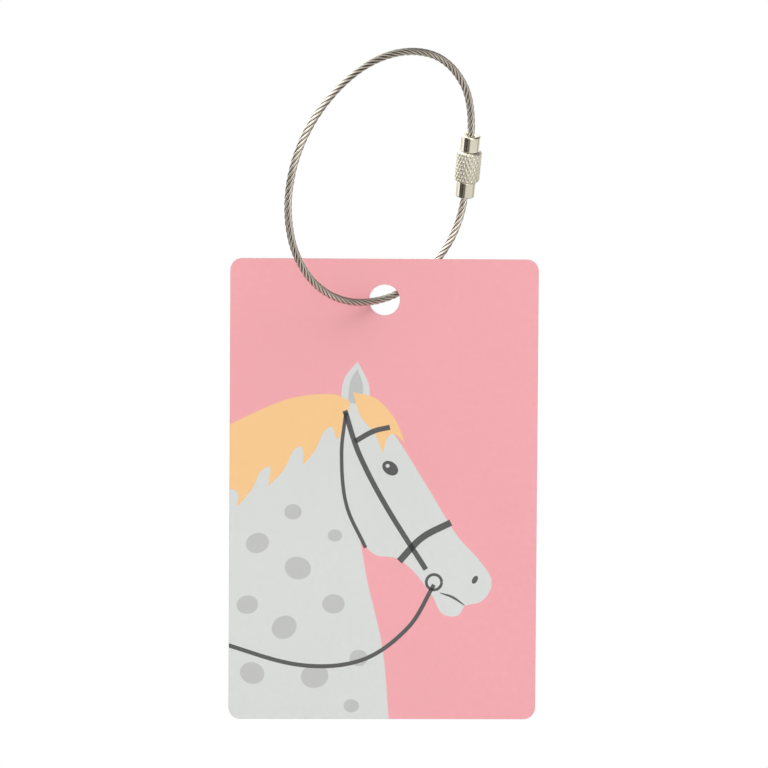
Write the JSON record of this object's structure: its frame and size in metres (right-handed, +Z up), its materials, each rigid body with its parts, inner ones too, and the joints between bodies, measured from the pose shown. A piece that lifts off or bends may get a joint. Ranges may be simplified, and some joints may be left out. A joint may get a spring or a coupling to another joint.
{
  "type": "luggage tag",
  "caption": "Laminated rectangular luggage tag with a printed face, hung through a punched hole on a wire rope loop that a knurled screw clasp closes.",
  "frame": {"origin": "the inner side of the wire at the top of the loop, where a handle or hook carries the tag", "axes": "+Z up along the card's long side; the printed front faces -Y; +X to the right seen from the front"},
  "size_m": [0.06, 0.0323, 0.1306],
  "materials": {
    "core_plastic": "white core, seen at the cut edge",
    "front_print": "printed pink sheet",
    "back_print": "printed pink sheet",
    "clear_film": "clear satin laminating film",
    "wire_steel": "bright twisted stainless steel rope",
    "nickel": "polished nickel plate",
    "knurled_nickel": "knurled nickel plate"
  },
  "bodies": {
    "loop": {"wire_rope": "wire_steel", "flange_ferrule": "nickel"},
    "stud": {"stud_ferrule": "nickel"},
    "barrel": {"knurled_barrel": "knurled_nickel"},
    "card": {"front_film": "clear_film", "front_print_sheet": "front_print", "core_sheet": "core_plastic", "back_print_sheet": "back_print", "back_film": "clear_film"}
  },
  "joints": [
    {"name": "barrel_turn", "type": "hinge", "parent": "loop", "child": "barrel", "pos_m": [0.01617, 0.02075, -0.02016], "axis": [-0.0697, 0.3412, -0.9374], "range_deg": [0, 1800]},
    {"name": "stud_release", "type": "slide", "parent": "loop", "child": "stud", "axis": [0.0697, -0.3412, 0.9374], "range_m": [0, 0.0025], "deforming": ["wire_rope"]},
    {"name": "tag_swing", "type": "hinge", "parent": "loop", "child": "card", "pos_m": [0.00002, 0.0194, -0.04619], "axis": [0.8183, 0.5227, 0.2392], "range_deg": [-40, 60]}
  ],
  "couplings": [
    {"joint": "barrel_turn", "follows": "stud_release", "rad_per_m": 12566}
  ]
}
